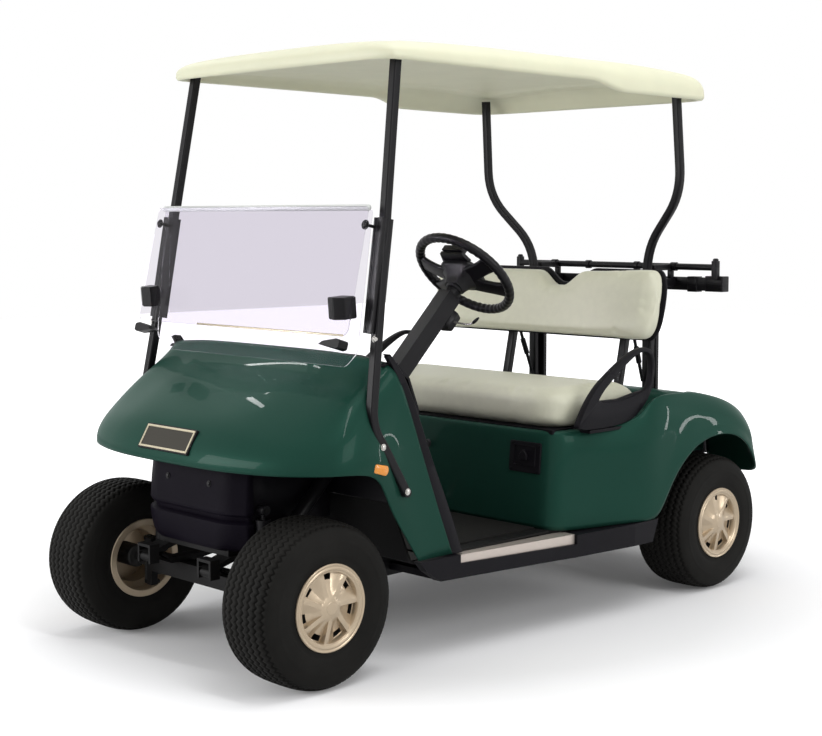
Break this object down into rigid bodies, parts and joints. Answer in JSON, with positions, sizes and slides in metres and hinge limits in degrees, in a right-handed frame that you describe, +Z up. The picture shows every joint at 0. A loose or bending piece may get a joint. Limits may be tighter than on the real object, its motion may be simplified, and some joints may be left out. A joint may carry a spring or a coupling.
{
  "type": "golf cart",
  "caption": "Two-seat electric golf cart with canopy, fold-down windshield, bag well and rack; steers, rolls, and its seat lifts off the batteries.",
  "frame": {"origin": "on the ground, at the middle of the length and width", "axes": "+X to the cart's left (driver's) side, the nose faces -Y, +Z up"},
  "size_m": [1.182, 2.38, 1.7679],
  "materials": {
    "paint_green": "gloss metallic green",
    "roof_stone": "satin stone",
    "vinyl_stone": "vinyl, stone",
    "black_plastic": "textured black",
    "black_steel": "powder coated black",
    "chassis_steel": "black",
    "acrylic": "clear",
    "tyre_rubber": "black",
    "mat_rubber": "ribbed",
    "wheel_champagne": "satin champagne",
    "amber": "clear amber",
    "sill_alloy": "brushed",
    "battery_case": "battery cases",
    "motor_paint": "black",
    "axle_iron": "black",
    "badge_metal": "dark bronze"
  },
  "bodies": {
    "cart": {"chassis_frame": "chassis_steel", "floor_pan": "chassis_steel", "floor_mat": "mat_rubber", "cowl": "paint_green", "dash": "black_plastic", "front_fascia": "black_plastic", "badge_plate": "badge_metal", "marker_lamps": "amber", "rear_body": "paint_green", "bagwell": "black_plastic", "rocker_panels": "black_plastic", "sill_plates": "sill_alloy", "battery_block": "battery_case", "motor": "motor_paint", "rear_axle": "axle_iron", "leaf_springs": "chassis_steel", "shock_absorbers": "chassis_steel", "front_axle": "chassis_steel", "steering_column": "black_steel", "turn_signal": "black_plastic", "pedals": "black_steel", "charger_receptacle": "black_plastic", "direction_knob": "black_plastic", "backrest_cushion": "vinyl_stone", "backrest_shell": "black_plastic", "backrest_posts": "black_steel", "front_struts": "black_steel", "rear_struts": "black_steel", "bag_rack": "black_steel", "roof": "roof_stone", "windshield_lower": "acrylic", "windshield_upper": "acrylic", "windshield_clips": "black_plastic"},
    "knuckle_left": {"knuckle_left": "chassis_steel"},
    "knuckle_right": {"knuckle_right": "chassis_steel"},
    "tie_rod": {"tie_rod": "chassis_steel"},
    "steering_wheel": {"steering_wheel": "black_plastic"},
    "seat": {"seat_base": "black_plastic", "seat_cushion": "vinyl_stone", "hip_restraints": "black_plastic"},
    "front_left_wheel": {"wheel_front_left": "wheel_champagne", "tyre_front_left": "tyre_rubber"},
    "front_right_wheel": {"wheel_front_right": "wheel_champagne", "tyre_front_right": "tyre_rubber"},
    "rear_left_wheel": {"wheel_rear_left": "wheel_champagne", "tyre_rear_left": "tyre_rubber"},
    "rear_right_wheel": {"wheel_rear_right": "wheel_champagne", "tyre_rear_right": "tyre_rubber"}
  },
  "joints": [
    {"name": "steer_left", "type": "hinge", "parent": "cart", "child": "knuckle_left", "pos_m": [0.31, -0.9615, 0.2285], "axis": [0, 0, 1], "range_deg": [-28, 28]},
    {"name": "steer_right", "type": "hinge", "parent": "cart", "child": "knuckle_right", "pos_m": [-0.31, -0.9615, 0.2285], "axis": [0, 0, 1], "range_deg": [-28, 28]},
    {"name": "tie_rod_pin", "type": "hinge", "parent": "knuckle_left", "child": "tie_rod", "pos_m": [0.31, -0.8515, 0.1645], "axis": [0, 0, 1], "range_deg": [-28, 28]},
    {"name": "steering_wheel_turn", "type": "hinge", "parent": "cart", "child": "steering_wheel", "pos_m": [0.25, -0.18, 1.084], "axis": [0, 0.7071, 0.7071], "range_deg": [-336, 336]},
    {"name": "seat_lift", "type": "hinge", "parent": "cart", "child": "seat", "pos_m": [0, 0.392, 0.606], "axis": [-1, 0, 0], "range_deg": [0, 55]},
    {"name": "front_left_spin", "type": "hinge", "parent": "knuckle_left", "child": "front_left_wheel", "pos_m": [0.432, -0.9615, 0.2285], "axis": [1, 0, 0], "continuous": true},
    {"name": "front_right_spin", "type": "hinge", "parent": "knuckle_right", "child": "front_right_wheel", "pos_m": [-0.432, -0.9615, 0.2285], "axis": [1, 0, 0], "continuous": true},
    {"name": "rear_left_spin", "type": "hinge", "parent": "cart", "child": "rear_left_wheel", "pos_m": [0.489, 0.7145, 0.2285], "axis": [1, 0, 0], "continuous": true},
    {"name": "rear_right_spin", "type": "hinge", "parent": "cart", "child": "rear_right_wheel", "pos_m": [-0.489, 0.7145, 0.2285], "axis": [1, 0, 0], "continuous": true}
  ],
  "couplings": [
    {"joint": "steer_right", "follows": "steer_left", "ratio": 1},
    {"joint": "tie_rod_pin", "follows": "steer_left", "ratio": -1},
    {"joint": "steering_wheel_turn", "follows": "steer_left", "ratio": 12}
  ]
}
